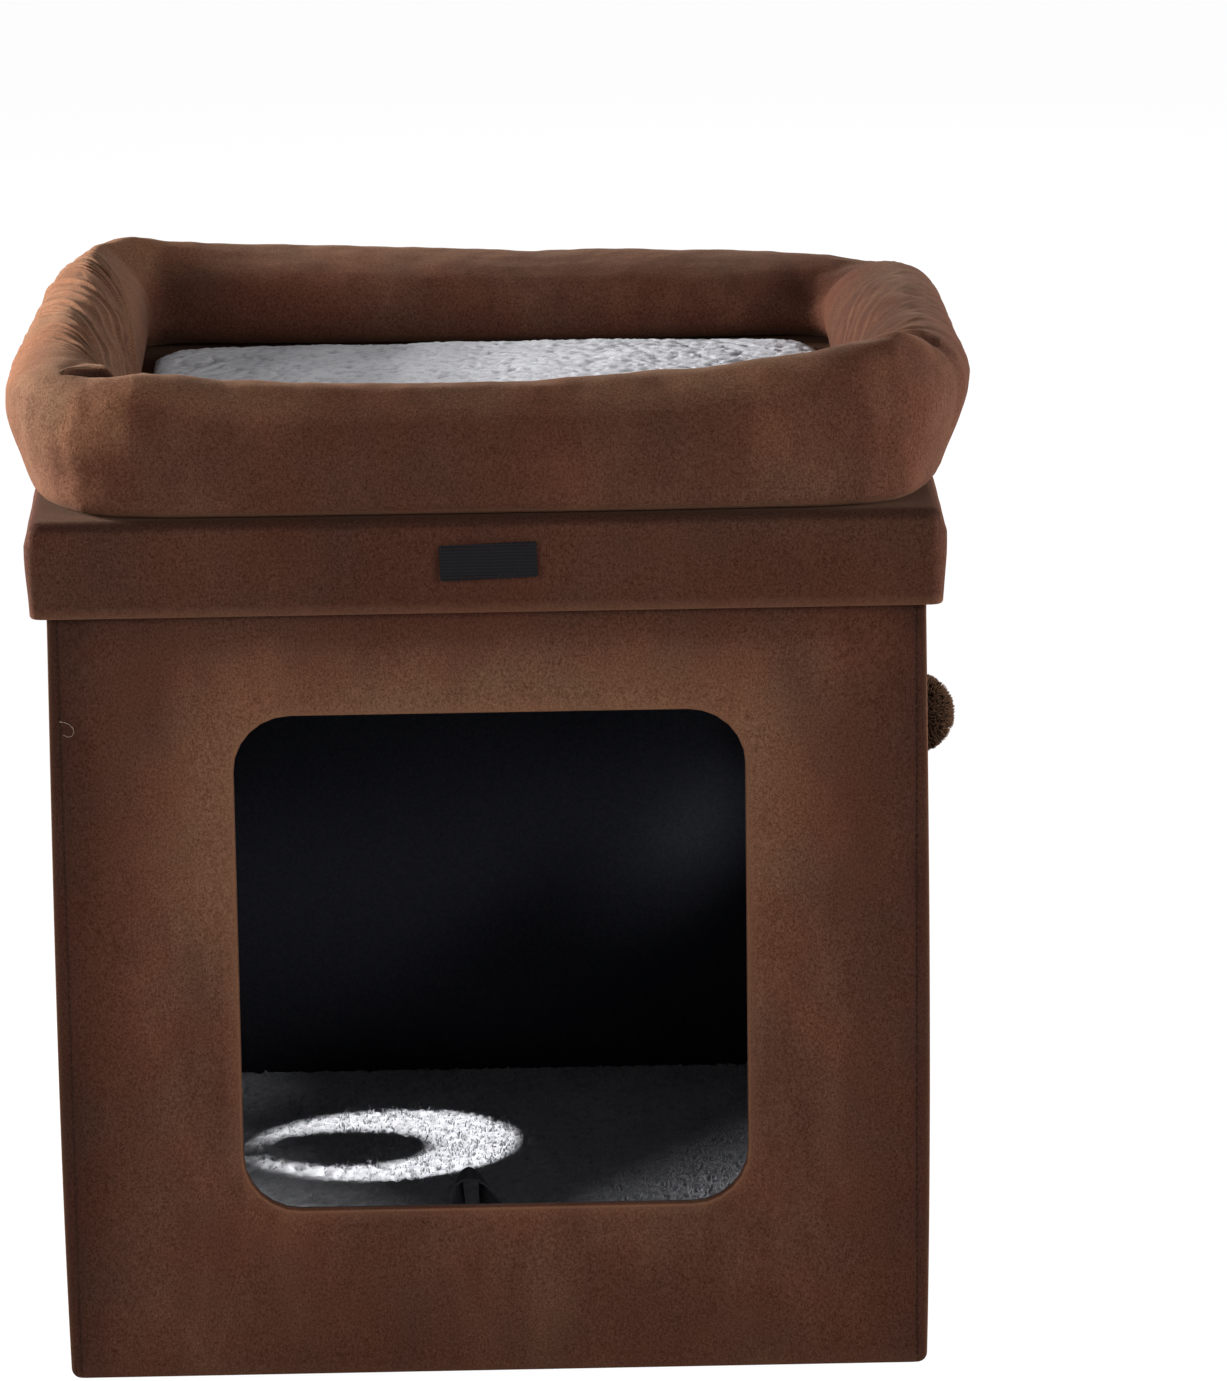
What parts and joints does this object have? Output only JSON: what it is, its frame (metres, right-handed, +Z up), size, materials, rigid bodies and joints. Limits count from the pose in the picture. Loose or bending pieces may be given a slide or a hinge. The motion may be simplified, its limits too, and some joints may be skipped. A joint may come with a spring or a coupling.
{
  "type": "foldable cat house",
  "caption": "Cube-shaped covered cat house that folds flat, with a lift-off lid that carries a bolstered bed, a padded floor mat, a door, a side hole and a hanging pompom.",
  "frame": {"origin": "on the ground under the middle of the house, on the underside of the base cloth", "axes": "+X to the right of a viewer who faces the door, the front with the door faces -Y, +Z up"},
  "size_m": [0.4311, 0.3949, 0.4584],
  "materials": {
    "suede": "matte brown faux suede with a short nap",
    "lining": "matte black non-woven lining",
    "fibreboard": "raw fibreboard, sewn in and out of sight",
    "plush": "light grey short-pile plush",
    "webbing": "black woven tape",
    "yarn": "dark brown fluffy yarn"
  },
  "bodies": {
    "back_wall": {"back_board": "fibreboard", "back_cover": "suede", "back_lining": "lining", "base_cloth": "lining"},
    "left_rear": {"left_rear_board": "fibreboard", "left_rear_cover": "suede", "left_rear_lining": "lining", "left_rear_corner_strip": "suede", "left_crease_strip": "suede"},
    "left_front": {"left_front_board": "fibreboard", "left_front_cover": "suede", "left_front_lining": "lining", "left_front_corner_strip": "suede"},
    "right_rear": {"right_rear_board": "fibreboard", "right_rear_cover": "suede", "right_rear_lining": "lining", "right_rear_corner_strip": "suede", "right_crease_strip": "suede", "toy_tab": "webbing"},
    "right_front": {"right_front_board": "fibreboard", "right_front_cover": "suede", "right_front_lining": "lining", "right_front_corner_strip": "suede"},
    "front_wall": {"front_board": "fibreboard", "front_cover": "suede", "front_lining": "lining"},
    "mat": {"mat_backing": "lining", "mat_board": "fibreboard", "mat_plush": "plush", "mat_pull_loop": "webbing"},
    "lid": {"lid_board": "fibreboard", "lid_skirt_board_front": "fibreboard", "lid_skirt_board_rear": "fibreboard", "lid_skirt_board_left": "fibreboard", "lid_skirt_board_right": "fibreboard", "lid_cover": "suede", "lid_lining": "lining", "blank_patch": "webbing", "bed_rim": "suede", "bed_cushion": "plush"},
    "toy": {"toy_cord": "yarn", "toy_pompom": "yarn"}
  },
  "joints": [
    {"name": "left_rear_fold", "type": "hinge", "parent": "back_wall", "child": "left_rear", "pos_m": [-0.186, 0.1792, 0], "axis": [0, 0, 1], "range_deg": [0, 90], "deforming": ["base_cloth", "mat_backing", "mat_board", "mat_plush", "mat_pull_loop", "left_rear_corner_strip", "left_crease_strip", "left_front_corner_strip", "right_rear_corner_strip", "right_crease_strip", "right_front_corner_strip", "toy_tab", "toy_cord", "toy_pompom"]},
    {"name": "left_crease", "type": "hinge", "parent": "left_rear", "child": "left_front", "pos_m": [-0.1871, 0, 0], "axis": [0, 0, -1], "range_deg": [0, 180]},
    {"name": "front_fold", "type": "hinge", "parent": "left_front", "child": "front_wall", "pos_m": [-0.186, -0.1792, 0], "axis": [0, 0, 1], "range_deg": [0, 90]},
    {"name": "right_rear_fold", "type": "hinge", "parent": "back_wall", "child": "right_rear", "pos_m": [0.186, 0.1792, 0], "axis": [0, 0, -1], "range_deg": [0, 90]},
    {"name": "right_crease", "type": "hinge", "parent": "right_rear", "child": "right_front", "pos_m": [0.1871, 0, 0], "axis": [0, 0, 1], "range_deg": [0, 180]},
    {"name": "lid_lift", "type": "slide", "parent": "back_wall", "child": "lid", "axis": [0, 0, 1], "range_m": [0, 0.25]},
    {"name": "mat_lift", "type": "slide", "parent": "back_wall", "child": "mat", "axis": [0, 0, 1], "range_m": [0, 0.29]},
    {"name": "toy_swing", "type": "hinge", "parent": "right_rear", "child": "toy", "pos_m": [0.1883, 0.0896, 0.272], "axis": [0, -1, 0], "range_deg": [0, 75]}
  ],
  "couplings": [
    {"joint": "left_crease", "follows": "left_rear_fold", "ratio": 2},
    {"joint": "front_fold", "follows": "left_rear_fold", "ratio": 1},
    {"joint": "right_rear_fold", "follows": "left_rear_fold", "ratio": 1},
    {"joint": "right_crease", "follows": "left_rear_fold", "ratio": 2}
  ]
}
